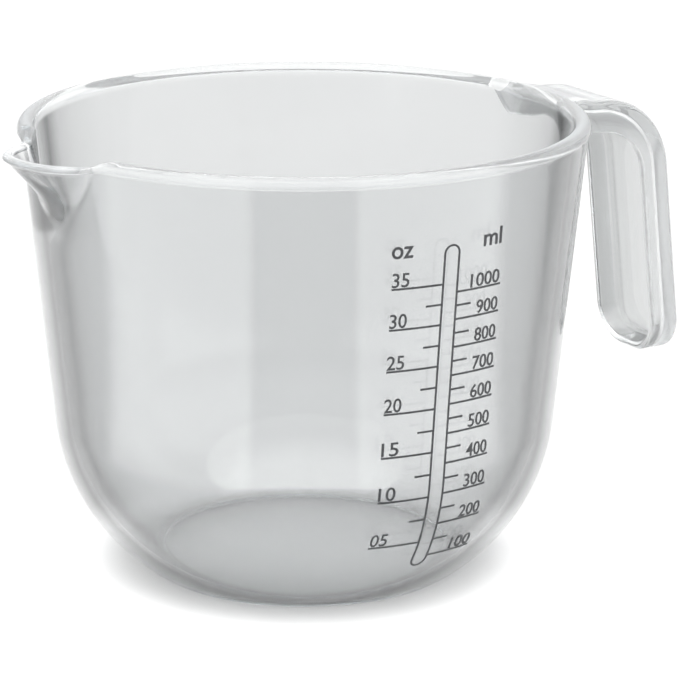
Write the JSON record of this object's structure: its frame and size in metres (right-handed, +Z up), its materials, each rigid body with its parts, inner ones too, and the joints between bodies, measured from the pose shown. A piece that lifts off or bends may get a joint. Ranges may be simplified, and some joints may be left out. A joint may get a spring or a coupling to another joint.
{
  "type": "measuring jug",
  "caption": "Clear moulded measuring jug with a round-bottomed bowl, pouring spout, open strap handle and printed fluid ounce and millilitre scale.",
  "frame": {"origin": "centre of the foot ring, on the table", "axes": "+Z up along the bowl's axis, -X towards the spout, +X towards the handle, -Y towards the printed scale"},
  "size_m": [0.1998, 0.1494, 0.1206],
  "materials": {
    "clear_plastic": "gloss",
    "ink": "satin"
  },
  "bodies": {
    "root": {"bowl": "clear_plastic", "foot_ring": "clear_plastic", "rim_bead": "clear_plastic", "spout": "clear_plastic", "spout_lip": "clear_plastic", "handle_panel": "clear_plastic", "handle_flange": "clear_plastic", "scale_column": "ink", "ml_major_marks": "ink", "ml_minor_marks": "ink", "oz_major_marks": "ink", "oz_minor_marks": "ink"}
  },
  "joints": []
}
